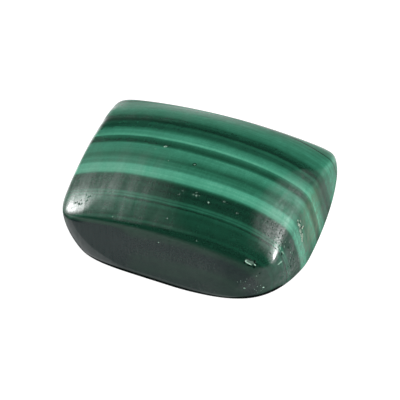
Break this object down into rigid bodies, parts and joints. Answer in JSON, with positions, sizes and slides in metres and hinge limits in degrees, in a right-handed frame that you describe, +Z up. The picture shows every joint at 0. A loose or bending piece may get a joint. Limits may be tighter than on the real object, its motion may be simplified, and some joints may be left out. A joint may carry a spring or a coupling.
{
  "type": "malachite cabochon",
  "caption": "Loose cushion-shaped gemstone of banded green malachite with a barrel-domed crown, near-upright walls and a flat back, for setting in a bezel.",
  "frame": {"origin": "middle of the stone's flat back, which is the plane it rests on", "axes": "+X along the stone's length, +Y across it from the lower long wall to the taller one, +Z up out of the flat back towards the crown"},
  "size_m": [0.0181, 0.0126, 0.0078],
  "materials": {
    "malachite": "polished"
  },
  "bodies": {
    "root": {"cabochon": "malachite"}
  },
  "joints": []
}
